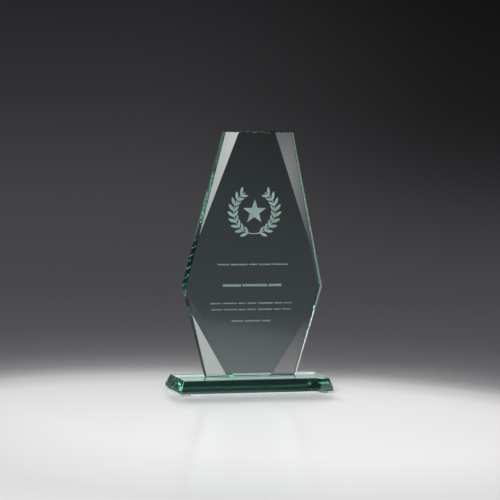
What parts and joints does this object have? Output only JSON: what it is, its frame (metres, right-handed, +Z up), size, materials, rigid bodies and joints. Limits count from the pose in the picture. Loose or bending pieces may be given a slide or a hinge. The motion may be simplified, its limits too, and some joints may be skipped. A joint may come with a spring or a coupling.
{
  "type": "glass award",
  "caption": "Free-standing award: a faceted hexagonal tablet of green-edged glass bonded upright on a bevelled glass slab with clear bumper feet.",
  "frame": {"origin": "under the middle of the award, on the surface it stands on", "axes": "+Z up, -Y the front that is read, +X to the reader's right"},
  "size_m": [0.158, 0.052, 0.2565],
  "materials": {
    "jade_glass": "polished, clear through the thin way and green along it",
    "clear_adhesive": "clear, cured",
    "clear_bumper": "clear, smooth polyurethane"
  },
  "bodies": {
    "root": {"glass_tablet": "jade_glass", "glass_base": "jade_glass", "bond_film": "clear_adhesive", "foot_front_left": "clear_bumper", "pad_front_left": "clear_adhesive", "foot_front_right": "clear_bumper", "pad_front_right": "clear_adhesive", "foot_rear_left": "clear_bumper", "pad_rear_left": "clear_adhesive", "foot_rear_right": "clear_bumper", "pad_rear_right": "clear_adhesive"}
  },
  "joints": []
}
